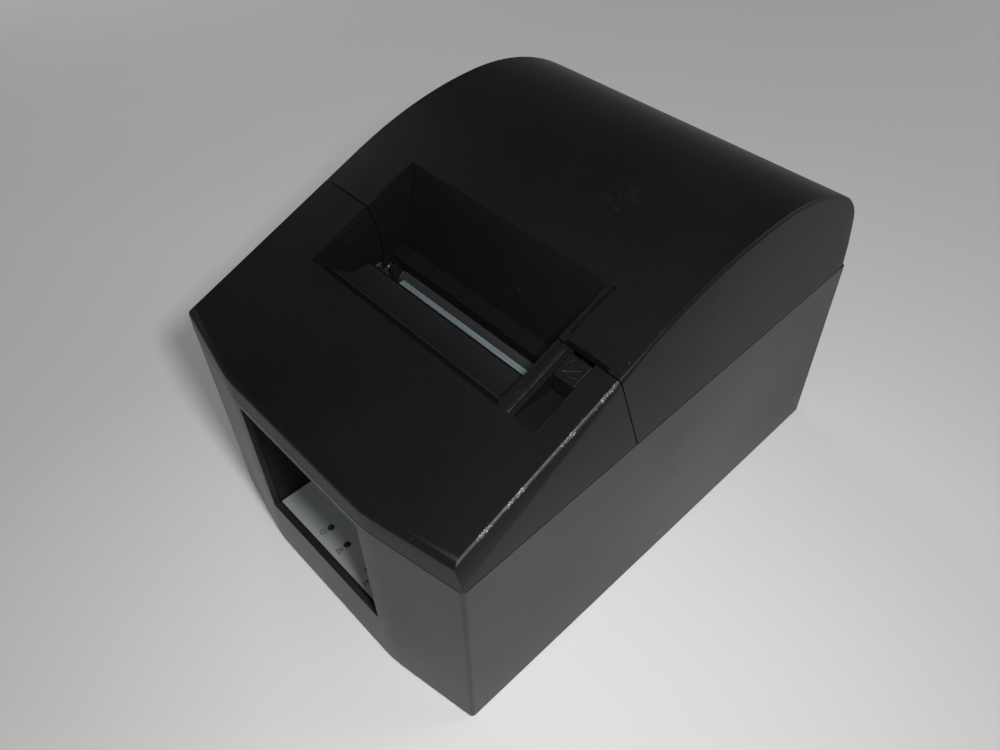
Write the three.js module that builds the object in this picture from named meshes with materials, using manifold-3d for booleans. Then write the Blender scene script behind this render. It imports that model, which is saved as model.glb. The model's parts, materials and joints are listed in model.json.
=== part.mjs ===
// Desktop thermal receipt printer: a two-part case with a hinged paper cover,
// a print mechanism, a paper hopper, boards, sockets and a sliding cover latch.
// Millimetres, +Z up. X is the width. Inside the group, y is measured from the front face
// to the back, and the group is moved so that the origin is under the middle of the case.
import * as THREE from "three";
import { mergeVertices } from "three/addons/utils/BufferGeometryUtils.js";
import Module from "manifold-3d";

const wasm = await Module();
wasm.setup();

// ---------------------------------------------------------------- driving dimensions
const WIDTH = 147;
const DEPTH = 218;
const HEIGHT = 144;
const WALL = 2.5;
const GAP = 0.3;
const FEET = 1.2;
const HALF = WIDTH / 2;
const PAPER_WIDTH = 80;

// plan of the case: a flat middle panel and two facets set back to the corners
const PANEL_HALF = 36.9;
const CORNER_BACK = 6.9;
const FACET_SLOPE = CORNER_BACK / (HALF - PANEL_HALF);
const KINK = 4;
const CASE_CORNER = 1.5;
const COVER_CORNER = 0.6;
const BACK_CORNER = 3.2;

// side view of the case
const BACK_TOP = 208.6;
const COVER_DEPTH = 206.9;
const PART_FRONT = 89.6;
const PART_BACK = 94;
const PART_GAP = 0.4;
const partLine = (y) => PART_FRONT + (PART_BACK - PART_FRONT) * y / BACK_TOP;

// side view of the covers: a straight slope, then three arcs over the crest and down the back
const SLOPE = THREE.MathUtils.degToRad(21.1);
const CREST_Y = 145;
const FRONT_ARC = 162;
const BACK_ARC = 88;
const SHOULDER_ARC = 26.8;
const SHOULDER_START = THREE.MathUtils.degToRad(34);
const SHOULDER_END = THREE.MathUtils.degToRad(87);
const NOSE_BACK = 3.4;
const NOSE_DROP = 2.1;
const SIDE_LEAN = 2.5;
const LEAN_HEIGHT = 10;
const EDGE = 0.9;

// paper exit recess and the seam between the covers
const RECESS_HALF = 46.6;
const RECESS_FRONT = 45.5;
const RECESS_FLOOR = 103;
const RECESS_LINER = 2;
const FLOOR_FRONT = 59.3;
const FLOOR_BACK = 68.4;
const LEDGE_FRONT = 79.6;
const LEDGE_BACK = 85.6;
const LEDGE_TOP = 101.6;
const BACK_WALL_TOP = 92.8;
const SEAM_TOP = 70.9;
const SEAM_BOTTOM = 81.8;
const SEAM_GAP = 0.5;

// front window and its panel
const WINDOW_HALF = 32.8;
const WINDOW_LOW = 28.2;
const WINDOW_HIGH = 86.5;
const SHELF = 27;
const BEZEL_DEPTH = 26;

// cover latch lever
const LEVER_LEFT = 53.5;
const LEVER_RIGHT = 61.5;
const LEVER_FRONT = 62.1;
const LEVER_BACK = 69.6;
const SCOOP_FLOOR = 116.3;

// cover hinge, platen and drive train
const HINGE = { y: 199.8, z: 104.2, rod: 1.8, knuckle: 3.2 };
const PLATEN = { y: 84, z: 88, roller: 8, shaft: 3 };
const MOTOR = { y: 62, z: 44, radius: 14, right: -30 };
const PINION_RADIUS = 5;
const PLATEN_GEAR_RADIUS = 7.5;
const TEETH = { pinion: 12, idler: 40, platen: 18, cutter: 18 };
const FRAME_IN = 50.5;
const FRAME_THICK = 1.5;
const GEAR_OUT = -57.5;
const GEAR_IN = -53;
const MECHANISM = { front: 48, back: 94, low: 26, top: 96 };
const CUTTER = { y: 60, z: 87.2, pinion: 7.6, motor: 6.3, left: -30, right: -26.4, end: 4, shaft: 1 };

// paper hopper
const HOPPER = { y: 148, z: 62, radius: 43, half: 42, top: 90, wall: 2 };

// ---------------------------------------------------------------- colours
const finish = (color, roughness, metalness = 0) =>
  new THREE.MeshStandardMaterial({ color, roughness, metalness });
const caseBlack = finish(0x1c1d1f, 0.55);
const innerBlack = finish(0x161718, 0.7);
const steel = finish(0xa9adb0, 0.4, 0.9);
const bladeSteel = finish(0x9fb2bf, 0.3, 0.9);
const aluminium = finish(0xb4b7ba, 0.45, 0.8);
const rubber = finish(0x232325, 0.9);
const labelGrey = finish(0x8c9796, 0.5);
const ledGreen = finish(0x3f8f57, 0.25);
const ledRed = finish(0xa03a35, 0.25);
const boardGreen = finish(0x1f5b3c, 0.6);
const gearWhite = finish(0xd9d6c8, 0.5);
const copper = finish(0xb0764a, 0.45, 0.7);

// ---------------------------------------------------------------- solids
function solid(geometry) {
  const bare = geometry.index ? geometry.toNonIndexed() : geometry.clone();
  bare.deleteAttribute("normal");
  bare.deleteAttribute("uv");
  const merged = mergeVertices(bare, 1e-4);
  const corners = merged.index.array;
  const kept = [];
  for (let i = 0; i < corners.length; i += 3) {
    const [a, b, c] = [corners[i], corners[i + 1], corners[i + 2]];
    if (a !== b && b !== c && a !== c) kept.push(a, b, c);
  }
  const mesh = new wasm.Mesh({
    numProp: 3,
    vertProperties: new Float32Array(merged.attributes.position.array),
    triVerts: new Uint32Array(kept),
  });
  return new wasm.Manifold(mesh);
}

const alongX = new THREE.Matrix4().makeBasis(
  new THREE.Vector3(0, 1, 0), new THREE.Vector3(0, 0, 1), new THREE.Vector3(1, 0, 0));

function polygon(points) {
  return new THREE.Shape(points.map(([u, v]) => new THREE.Vector2(u, v)));
}

function prismX(points, x0, x1) {
  const bar = new THREE.ExtrudeGeometry(polygon(points), { depth: x1 - x0, bevelEnabled: false });
  return solid(bar.applyMatrix4(alongX).translate(x0, 0, 0));
}

function prismZ(points, z0, z1) {
  const bar = new THREE.ExtrudeGeometry(polygon(points), { depth: z1 - z0, bevelEnabled: false });
  return solid(bar.translate(0, 0, z0));
}

function block(x0, x1, y0, y1, z0, z1) {
  const box = new THREE.BoxGeometry(x1 - x0, y1 - y0, z1 - z0);
  return solid(box.translate((x0 + x1) / 2, (y0 + y1) / 2, (z0 + z1) / 2));
}

function rodX(radius, x0, x1, y, z, sides = 24) {
  const bar = new THREE.CylinderGeometry(radius, radius, x1 - x0, sides);
  return solid(bar.rotateZ(Math.PI / 2).translate((x0 + x1) / 2, y, z));
}

function rodY(radius, y0, y1, x, z, sides = 24) {
  const bar = new THREE.CylinderGeometry(radius, radius, y1 - y0, sides);
  return solid(bar.translate(x, (y0 + y1) / 2, z));
}

function rodZ(radius, z0, z1, x, y, sides = 24) {
  const bar = new THREE.CylinderGeometry(radius, radius, z1 - z0, sides);
  return solid(bar.rotateX(Math.PI / 2).translate(x, y, (z0 + z1) / 2));
}

// a solid through closed rings of equally many points, one above the other, from the lowest up
function loft(rings) {
  const around = rings[0].length;
  const index = [];
  for (let layer = 0; layer + 1 < rings.length; layer += 1) {
    for (let i = 0; i < around; i += 1) {
      const a = layer * around + i;
      const b = layer * around + (i + 1) % around;
      index.push(a, b, b + around, a, b + around, a + around);
    }
  }
  const flat = rings[0].map(([x, y]) => new THREE.Vector2(x, y));
  const top = (rings.length - 1) * around;
  THREE.ShapeUtils.triangulateShape(flat, []).forEach(([a, b, c]) => {
    index.push(a, c, b, top + a, top + b, top + c);
  });
  const geometry = new THREE.BufferGeometry();
  geometry.setAttribute("position", new THREE.Float32BufferAttribute(rings.flat(2), 3));
  geometry.setIndex(index);
  return solid(geometry);
}

const join = (first, ...rest) => rest.reduce((whole, part) => whole.add(part), first);
const cut = (first, ...rest) => rest.reduce((whole, part) => whole.subtract(part), first);

const printer = new THREE.Group();
printer.name = "receipt_printer";
printer.position.y = -DEPTH / 2;

function place(name, shape, material) {
  const { vertProperties, triVerts } = shape.getMesh();
  const geometry = new THREE.BufferGeometry();
  geometry.setAttribute("position", new THREE.BufferAttribute(vertProperties, 3));
  geometry.setIndex(new THREE.BufferAttribute(triVerts, 1));
  const mesh = new THREE.Mesh(geometry, material);
  mesh.name = name;
  printer.add(mesh);
}

// ---------------------------------------------------------------- case outlines
// plan of the case, inset from the outside by a wall, with its front pushed back by a setback
function planOutline(inset, depth, corner, setback = 0) {
  const side = HALF - inset;
  const front = inset + setback;
  const meet = front + FACET_SLOPE * (side - PANEL_HALF);
  const back = depth - inset;
  const turn = new THREE.QuadraticBezierCurve(
    new THREE.Vector2(side - corner, meet - FACET_SLOPE * corner),
    new THREE.Vector2(side, meet),
    new THREE.Vector2(side, meet + corner));
  const right = [
    [PANEL_HALF - KINK, front],
    [PANEL_HALF, front + FACET_SLOPE * KINK / 4],
    [PANEL_HALF + KINK, front + FACET_SLOPE * KINK],
    ...turn.getPoints(4).map((point) => [point.x, point.y]),
    [side, back - BACK_CORNER],
    [side - BACK_CORNER, back],
  ];
  const left = right.map(([x, y]) => [-x, y]).reverse();
  return [...right, ...left];
}

function arc(centreY, centreZ, radius, from, to, steps) {
  const points = [];
  for (let i = 1; i <= steps; i += 1) {
    const angle = from + (to - from) * i / steps;
    points.push([centreY + radius * Math.sin(angle), centreZ + radius * Math.cos(angle)]);
  }
  return points;
}

// outline of the covers over the top, from the front bottom edge to the back bottom edge
function coverOutline(inset) {
  const crest = { y: CREST_Y, z: HEIGHT };
  const front = { y: crest.y, z: crest.z - FRONT_ARC };
  const back = { y: crest.y, z: crest.z - BACK_ARC };
  const start = {
    y: front.y - (FRONT_ARC - inset) * Math.sin(SLOPE),
    z: front.z + (FRONT_ARC - inset) * Math.cos(SLOPE),
  };
  const shoulder = {
    y: back.y + (BACK_ARC - SHOULDER_ARC) * Math.sin(SHOULDER_START),
    z: back.z + (BACK_ARC - SHOULDER_ARC) * Math.cos(SHOULDER_START),
  };
  const points = [
    [inset, partLine(0) + PART_GAP],
    [inset, start.z - (start.y - inset) * Math.tan(SLOPE)],
    [start.y, start.z],
    ...arc(front.y, front.z, FRONT_ARC - inset, -SLOPE, 0, 9),
    ...arc(back.y, back.z, BACK_ARC - inset, 0, SHOULDER_START, 8),
    ...arc(shoulder.y, shoulder.z, SHOULDER_ARC - inset, SHOULDER_START, SHOULDER_END, 8),
  ];
  const last = points[points.length - 1];
  const bottom = partLine(BACK_TOP) + PART_GAP;
  points.push([last[0] + (last[1] - bottom) / Math.tan(SHOULDER_END), bottom]);
  return points;
}

// covers as one block: the sides lean in from the parting line to the top edge
function coverBlock(inset, drop = 0) {
  const outline = coverOutline(inset);
  const stations = outline.map(([y, z]) => {
    const low = partLine(y) + PART_GAP;
    const rise = Math.max(0, z - low);
    const top = HALF - inset - SIDE_LEAN * Math.min(1, rise / LEAN_HEIGHT);
    const edge = Math.min(EDGE, rise / 3);
    return [
      [HALF - inset, y, low - drop],
      [top, y, z - edge],
      [top - edge, y, z],
      [-(top - edge), y, z],
      [-top, y, z - edge],
      [-(HALF - inset), y, low - drop],
    ];
  });
  const positions = stations.flat(2);
  const index = [];
  const around = stations[0].length;
  for (let i = 0; i + 1 < stations.length; i += 1) {
    for (let j = 0; j < around; j += 1) {
      const a = i * around + j;
      const b = i * around + (j + 1) % around;
      index.push(a, b + around, b, a, a + around, b + around);
    }
  }
  const lastRing = (stations.length - 1) * around;
  for (let j = 1; j + 1 < around; j += 1) {
    index.push(0, j, j + 1);
    index.push(lastRing, lastRing + j + 1, lastRing + j);
  }
  const shell = new THREE.BufferGeometry();
  shell.setAttribute("position", new THREE.Float32BufferAttribute(positions, 3));
  shell.setIndex(index);
  return solid(shell);
}

// cutting bodies run this far past the case
const PAST = 5;
const FAR = 250;
const topLine = (y, depth = 0) => {
  const startY = CREST_Y - FRONT_ARC * Math.sin(SLOPE);
  const startZ = HEIGHT - FRONT_ARC + FRONT_ARC * Math.cos(SLOPE);
  return startZ - (startY - y) * Math.tan(SLOPE) - depth;
};

// a layer of the sloping top, down to a depth below its surface
function topLayer(x0, x1, y0, y1, depth) {
  return prismX([
    [y0, topLine(y0, depth)], [y1, topLine(y1, depth)],
    [y1, topLine(y1) + 5], [y0, topLine(y0) + 5],
  ], x0, x1);
}

// ---------------------------------------------------------------- seam between the covers
const SEAM_TOP_Z = 127;
const SEAM_BOTTOM_Z = 91;
const CHEEK = RECESS_HALF + RECESS_LINER;
const CHEEK_SEAM = 75.1;
const CHEEK_SEAM_Z = 105;
const LOW = 60;
const HIGH = 160;
const seamY = (z) => SEAM_TOP
  + (SEAM_TOP_Z - z) * (SEAM_BOTTOM - SEAM_TOP) / (SEAM_TOP_Z - SEAM_BOTTOM_Z);

function seamOutline(shift) {
  return [[seamY(HIGH) + shift, HIGH], [seamY(LOW) + shift, LOW]];
}

// inside the recess the seam drops in a quarter curve
function cheekSeamOutline(shift) {
  const curve = new THREE.QuadraticBezierCurve(
    new THREE.Vector2(SEAM_TOP, SEAM_TOP_Z),
    new THREE.Vector2(CHEEK_SEAM, SEAM_TOP_Z - 11),
    new THREE.Vector2(CHEEK_SEAM, CHEEK_SEAM_Z));
  const points = curve.getPoints(5).map((point) => [point.x + shift, point.y]);
  return [[seamY(HIGH) + shift, HIGH], ...points, [CHEEK_SEAM + shift, LOW]];
}

function zone(far, shift) {
  const side = [...seamOutline(shift), [far, LOW], [far, HIGH]];
  const middle = [...cheekSeamOutline(shift), [far, LOW], [far, HIGH]];
  const outline = far > SEAM_BOTTOM ? (points) => points : (points) => [...points].reverse();
  return join(
    prismX(outline(side), -HALF - PAST, -CHEEK),
    prismX(outline(middle), -CHEEK, CHEEK),
    prismX(outline(side), CHEEK, HALF + PAST));
}

// ---------------------------------------------------------------- casings

// the covers' plan as a block whose front edge rounds over into the sloping top
function coverPlan(inset) {
  const ring = (setback, level, slope) =>
    planOutline(inset, COVER_DEPTH, COVER_CORNER, setback).map(([x, y]) => [x, y, level + slope * y]);
  const rise = Math.tan(SLOPE);
  const level = topLine(0) - inset;
  const rounding = [0, 0.25, 0.5, 0.75, 1].map((part) => {
    const turn = part * Math.PI / 2;
    return ring(NOSE_BACK * (1 - Math.cos(turn)), level - NOSE_DROP * (1 - Math.sin(turn)), rise);
  });
  return loft([ring(0, 0, 0), ...rounding, ring(NOSE_BACK, HIGH, rise)]);
}
const outerCover = coverBlock(0).intersect(coverPlan(0));
const innerCover = coverBlock(WALL, 5).intersect(coverPlan(WALL));

function recessOutline() {
  return [
    [RECESS_FRONT, RECESS_FLOOR + 12], [FLOOR_FRONT, RECESS_FLOOR + 0.6],
    [FLOOR_BACK, RECESS_FLOOR], [FLOOR_BACK, LOW], [FAR / 2, LOW],
    [FAR / 2, HIGH], [RECESS_FRONT, HIGH],
  ];
}

function makeFrontCover() {
  const front = zone(-5, -SEAM_GAP / 2);
  const trayBlock = prismX([
    [RECESS_FRONT - RECESS_LINER, RECESS_FLOOR + 11],
    [FLOOR_FRONT - 1.2, RECESS_FLOOR - RECESS_LINER], [CHEEK_SEAM, RECESS_FLOOR - RECESS_LINER],
    [CHEEK_SEAM, HIGH], [RECESS_FRONT - RECESS_LINER, HIGH],
  ], -CHEEK, CHEEK);
  const recess = prismX(recessOutline(), -RECESS_HALF, RECESS_HALF);
  const channelWall = 1.6;
  const [left, right] = [LEVER_LEFT - GAP, LEVER_RIGHT + GAP];
  const channelBlock = block(left - channelWall, right + channelWall,
    RECESS_FRONT - RECESS_LINER, LEVER_BACK, SCOOP_FLOOR - 1.8, HIGH);
  const scoop = block(left, right, RECESS_FRONT, FAR, SCOOP_FLOOR, HIGH);
  const stemSlot = block(left, right, LEVER_FRONT + 0.2, FAR, LOW, HIGH);
  const hollow = cut(innerCover, trayBlock, channelBlock);
  const grooves = [
    topLayer(RECESS_HALF + 1.6, RECESS_HALF + 2.6, RECESS_FRONT, FAR, 0.9),
    topLayer(LEVER_LEFT - 1.7, LEVER_LEFT - 0.9, RECESS_FRONT, FAR, 0.7),
  ];
  const cover = cut(outerCover, hollow, recess, scoop, stemSlot, ...grooves).intersect(front);
  place("front_cover", cover, caseBlack);
}

function coverEar(x0, x1) {
  const knuckle = rodX(HINGE.knuckle, x0, x1, HINGE.y, HINGE.z);
  const plate = block(x0, x1, HINGE.y - HINGE.knuckle, BACK_TOP, HINGE.z, HINGE.z + 24);
  return join(knuckle, plate);
}

// catch under the right front edge of the rear cover, which the latch nose holds down
const COVER_EARS = [[55, 58], [-58, -55]];
const CATCH = { front: 73.8, back: 76.4, left: 54, right: 61, low: 103, rib: 1.4, bar: 2 };

function makeRearCover() {
  const back = zone(FAR, SEAM_GAP / 2);
  const liner = prismX([
    [LEDGE_FRONT, LEDGE_TOP - 4.6], [LEDGE_BACK + 1.8, LEDGE_TOP - 4.6],
    [LEDGE_BACK + 2.4, LEDGE_TOP], [BACK_WALL_TOP + 2.4, topLine(BACK_WALL_TOP)],
    [BACK_WALL_TOP + 2.4, HIGH], [SEAM_TOP - 5, HIGH], [SEAM_TOP - 5, LEDGE_TOP - 4.6],
  ], -CHEEK, CHEEK);
  const recess = prismX([
    [SEAM_TOP - 10, LOW], [LEDGE_FRONT, LOW], [LEDGE_FRONT, LEDGE_TOP - 0.6],
    [LEDGE_BACK, LEDGE_TOP + 0.4], [BACK_WALL_TOP, topLine(BACK_WALL_TOP)],
    [BACK_WALL_TOP, HIGH], [SEAM_TOP - 10, HIGH],
  ], -RECESS_HALF, RECESS_HALF);
  const groove = topLayer(RECESS_HALF + 1.6, RECESS_HALF + 3.2, SEAM_TOP + 3, BACK_WALL_TOP, 1.8);
  const leverRoom = { side: 4.5, back: 1.5 };
  const relief = block(LEVER_LEFT - leverRoom.side, LEVER_RIGHT + leverRoom.side,
    LOW, SEAM_TOP + leverRoom.back, SCOOP_FLOOR, HIGH);
  const swing = HINGE.z - partLine(HINGE.y) - PART_GAP;
  const below = cut(
    block(-HALF - PAST, HALF + PAST, HINGE.y, FAR, LOW, HINGE.z),
    rodX(swing, -HALF - 6, HALF + 6, HINGE.y, HINGE.z, 72));
  const { front, back: catchBack, left, right, low, rib, bar } = CATCH;
  const roof = topLine(front) - WALL;
  const catchRibs = [left, right - rib].map((x) => block(x, x + rib, front, catchBack, low, roof));
  const catchBar = block(left, right, front, catchBack, low, low + bar);
  const hollow = cut(innerCover, liner, ...COVER_EARS.map(([x0, x1]) => coverEar(x0, x1)));
  const hole = rodX(HINGE.rod + GAP, -HALF + PAST, HALF - 5, HINGE.y, HINGE.z);
  const cover = cut(outerCover, hollow, recess, groove, relief, below, hole).intersect(back);
  place("rear_cover", join(cover, ...catchRibs, catchBar), caseBlack);
}

// the lower case as one block: its back wall leans out towards the floor
function lowerBlock(inset, low) {
  const backAt = (z) => DEPTH - (DEPTH - BACK_TOP) * (z - FEET) / (PART_BACK - FEET);
  return loft([low, PART_BACK + 5].map((z) =>
    planOutline(inset, backAt(z), CASE_CORNER).map(([x, y]) => [x, y, z])));
}

const BAY = { half: 53, low: 9, high: 46, panel: 201.5, thick: 1.5 };
const CASE_SCREWS = [[-62, 20], [62, 20], [-62, 196], [62, 196]];
const CASE_SCREW = { shank: 1.5, head: 3, low: 0.5, high: 14 };
const FOOT = { x: 58, front: 36, back: 180, radius: 7 };

function makeLowerCase() {
  const aboveParting = prismX(
    [[-5, partLine(-5)], [FAR, partLine(FAR)], [FAR, HIGH], [-5, HIGH]], -HALF - PAST, HALF + PAST);
  const window = block(-WINDOW_HALF, WINDOW_HALF, -5, 12, WINDOW_LOW, WINDOW_HIGH);
  const bay = block(-BAY.half, BAY.half, BAY.panel - 3, FAR, BAY.low, BAY.high);
  const shell = cut(lowerBlock(0, FEET), lowerBlock(WALL, -5), aboveParting);
  place("lower_case", cut(shell, window, bay), caseBlack);
}

function makeBottom() {
  const plan = planOutline(WALL + GAP, DEPTH - 0.6, CASE_CORNER);
  const low = FEET + GAP;
  const plate = prismZ(plan, low, low + 2);
  const holes = CASE_SCREWS.map(([x, y]) => rodZ(CASE_SCREW.shank + 0.4, low - 1, low + 3, x, y, 16));
  place("bottom_plate", cut(plate, ...holes), steel);
  CASE_SCREWS.forEach(([x, y], i) => {
    const head = rodZ(CASE_SCREW.head, CASE_SCREW.low, FEET, x, y, 16);
    const shank = rodZ(CASE_SCREW.shank, CASE_SCREW.low, CASE_SCREW.high, x, y, 12);
    place(`case_screw_${i + 1}`, join(head, shank), steel);
  });
  ["front", "back"].forEach((row) => {
    Object.entries({ left: -FOOT.x, right: FOOT.x }).forEach(([side, x]) => {
      place(`foot_${row}_${side}`, rodZ(FOOT.radius, 0, FEET, x, FOOT[row]), rubber);
    });
  });
}

// ---------------------------------------------------------------- front window
const LED_Y = 10;
const LEDS = { power_led: [-9.5, ledGreen], error_led: [1, ledRed] };
const LED_RADIUS = 1.1;
const LED_LOW = 19;
const BUTTON = { x: 19, y: 12, halfX: 5, halfY: 3.5, stem: 1.5, stemLow: 20.6 };
const PANEL_BOARD = { half: 32, front: 5, back: 22, low: 15, high: 16.6 };
const PANEL_SWITCH = { half: 3, top: 19.2 };

function makeWindow() {
  const inFront = WALL + GAP;
  const wall = 1.8;
  const side = WINDOW_HALF + 0.7;
  const bezelBlock = block(-side - wall, side + wall, inFront, BEZEL_DEPTH, SHELF - wall, 88);
  const hollow = block(-side, side, 0, BEZEL_DEPTH - wall, SHELF, 88 - wall);
  const ledHoles = Object.values(LEDS).map(([ledX]) => rodZ(LED_RADIUS + GAP, 0, 40, ledX, LED_Y, 16));
  const { x, y, halfX, halfY, stem: stemHalf, stemLow } = BUTTON;
  const buttonHole = block(x - halfX - GAP, x + halfX + GAP, y - halfY - GAP, y + halfY + GAP, 20, 40);
  place("window_bezel", cut(bezelBlock, hollow, ...ledHoles, buttonHole), innerBlack);
  const label = block(-side + 0.6, side - 0.6, inFront + 0.4, 20, SHELF + GAP, SHELF + 0.8);
  place("panel_label", cut(label, ...ledHoles, buttonHole), labelGrey);
  Object.entries(LEDS).forEach(([name, [ledX, color]]) => {
    place(name, rodZ(LED_RADIUS, LED_LOW, SHELF + 1.3, ledX, LED_Y, 16), color);
  });
  const cap = block(x - halfX, x + halfX, y - halfY, y + halfY, SHELF - 3.5, SHELF + 1.8);
  const stem = block(x - stemHalf, x + stemHalf, y - stemHalf, y + stemHalf, stemLow, SHELF - 3);
  place("feed_button", join(cap, stem), innerBlack);
  const { half, front, back, low, high } = PANEL_BOARD;
  const board = block(-half, half, front, back, low, high);
  const reach = PANEL_SWITCH.half;
  const switchBody = block(x - reach, x + reach, y - reach, y + reach, high - 0.6, PANEL_SWITCH.top);
  place("panel_board", cut(join(board, switchBody), ...ledHoles), boardGreen);
}

// ---------------------------------------------------------------- latch lever
const STEM = { left: 56, right: 59.4, front: 67, back: 69.4, low: 96 };
const GUIDE = { left: 52.3, right: 61.5, front: 54, wall: 57, back: 72, low: 88, floor: 93, top: 112 };

function makeLatch() {
  const capFloor = SCOOP_FLOOR + 0.4;
  const cap = prismX([
    [LEVER_FRONT, capFloor], [LEVER_BACK, capFloor],
    [LEVER_BACK, topLine(LEVER_BACK)], [LEVER_FRONT, topLine(LEVER_FRONT)],
  ], LEVER_LEFT, LEVER_RIGHT);
  const stem = block(STEM.left, STEM.right, STEM.front, STEM.back, STEM.low, capFloor + 1);
  const noseLow = CATCH.low + CATCH.bar + 0.4;
  const nose = block(STEM.left, STEM.right, STEM.back - 1, CATCH.front - 0.4, noseLow, noseLow + 2);
  place("cover_lever", join(cap, stem, nose), caseBlack);

  const wall = block(GUIDE.left, GUIDE.right, GUIDE.front, GUIDE.wall, GUIDE.low, GUIDE.top);
  const floor = block(GUIDE.left, GUIDE.right, GUIDE.front, GUIDE.back, GUIDE.low, GUIDE.floor);
  const railHeight = 6;
  const rails = [STEM.left - 1.7, STEM.right + 0.4].map((x) =>
    block(x, x + 1.3, GUIDE.front, GUIDE.back, GUIDE.floor - 1, GUIDE.floor + railHeight));
  place("lever_guide", join(wall, floor, ...rails), innerBlack);

  const coil = { radius: 2, wire: 0.45, turns: 7 };
  place("lever_spring", helix(coil, GUIDE.wall + GAP, STEM.front - GAP,
    (STEM.left + STEM.right) / 2, 104), steel);
}

// coil spring along Y
function helix({ radius, wire, turns }, y0, y1, x, z) {
  class Coil extends THREE.Curve {
    getPoint(t) {
      const angle = 2 * Math.PI * turns * t;
      const along = y0 + wire + (y1 - y0 - 2 * wire) * t;
      return new THREE.Vector3(x + radius * Math.cos(angle), along, z + radius * Math.sin(angle));
    }
  }
  const section = new THREE.Shape();
  section.absarc(0, 0, wire, 0, 2 * Math.PI);
  return solid(new THREE.ExtrudeGeometry(section, {
    steps: turns * 10, curveSegments: 3, extrudePath: new Coil(),
  }));
}

// ---------------------------------------------------------------- print mechanism
function gearOutline(radius, y, z, teeth, start = 0) {
  const depth = 1;
  const points = [];
  for (let i = 0; i < teeth; i += 1) {
    const pitch = 2 * Math.PI / teeth;
    const angle = start + i * pitch;
    [[0, radius - depth], [0.25, radius], [0.5, radius], [0.75, radius - depth]].forEach(
      ([part, r]) => {
        points.push([y + r * Math.cos(angle + part * pitch), z + r * Math.sin(angle + part * pitch)]);
      });
  }
  return points;
}

const IDLER = (() => {
  const dy = PLATEN.y - MOTOR.y;
  const dz = PLATEN.z - MOTOR.z;
  const span = Math.hypot(dy, dz);
  const clearance = 0.4;
  const radius = (span - PINION_RADIUS - PLATEN_GEAR_RADIUS - 2 * clearance) / 2;
  const along = (PINION_RADIUS + clearance + radius) / span;
  return { radius, y: MOTOR.y + dy * along, z: MOTOR.z + dz * along };
})();

function makeFrames() {
  const { front, back, low, top } = MECHANISM;
  const sidePlate = (x0, x1) => {
    const plate = block(x0, x1, front, back, low, top);
    const notch = block(x0 - 1, x1 + 1, PLATEN.y - 4.8, PLATEN.y + 3.8, PLATEN.z - 4, HIGH);
    const motorHole = rodX(2.4, x0 - 1, x1 + 1, MOTOR.y, MOTOR.z, 16);
    const idlerHole = rodX(1.8, x0 - 1, x1 + 1, IDLER.y, IDLER.z, 12);
    return cut(plate, notch, motorHole, idlerHole);
  };
  place("mechanism_frame_left", sidePlate(-FRAME_IN - FRAME_THICK, -FRAME_IN), steel);
  place("mechanism_frame_right", sidePlate(FRAME_IN, FRAME_IN + FRAME_THICK), steel);
  const base = { half: 58, beyond: 2, thick: 2.4, gap: 0.4 };
  const baseTop = low - base.gap;
  place("mechanism_base", block(-base.half, base.half, front - base.beyond, back + base.beyond,
    baseTop - base.thick, baseTop), steel);
  const bar = { front: 54, back: 56.4, low: 62, high: 78 };
  place("mechanism_crossbar", block(-FRAME_IN + GAP, FRAME_IN - GAP,
    bar.front, bar.back, bar.low, bar.high), steel);
}

const HEAD = { front: 73.6, back: 75.2, low: 66, high: 92 };
const SINK = { front: 65, back: 73.3, low: 60.4, high: 79 };
const FIN = { low: 63, high: 77, pitch: 4, gap: 2, root: 69.5 };
const HEAD_SPRING = { x: 26, z: 71, front: 56.8 };

function makePrintHead() {
  const half = PAPER_WIDTH / 2 + 3;
  place("print_head", block(-half, half, HEAD.front, HEAD.back, HEAD.low, HEAD.high), copper);
  const sink = block(-half, half, SINK.front, SINK.back, SINK.low, SINK.high);
  const gaps = [];
  for (let z = FIN.low; z < FIN.high; z += FIN.pitch) {
    gaps.push(block(-half - 1, half + 1, SINK.front - 1, FIN.root, z, z + FIN.gap));
  }
  place("head_heat_sink", cut(sink, ...gaps), aluminium);
  const coil = { radius: 2.6, wire: 0.5, turns: 5 };
  const { x, z, front } = HEAD_SPRING;
  place("head_spring_left", helix(coil, front, SINK.front - 0.4, -x, z), steel);
  place("head_spring_right", helix(coil, front, SINK.front - 0.4, x, z), steel);
}

const CUTTER_HOUSING = { front: 50, back: 69, low: 94, high: 99.2 };
const BLADE = { half: 40, front: 53, back: 72.4, low: 95.6, high: 96.8, vee: 2, room: 0.5 };
const GUIDE_STRIP = { left: -32, right: 42, front: 64, back: 73, low: 99.6, high: 100.8 };

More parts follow.
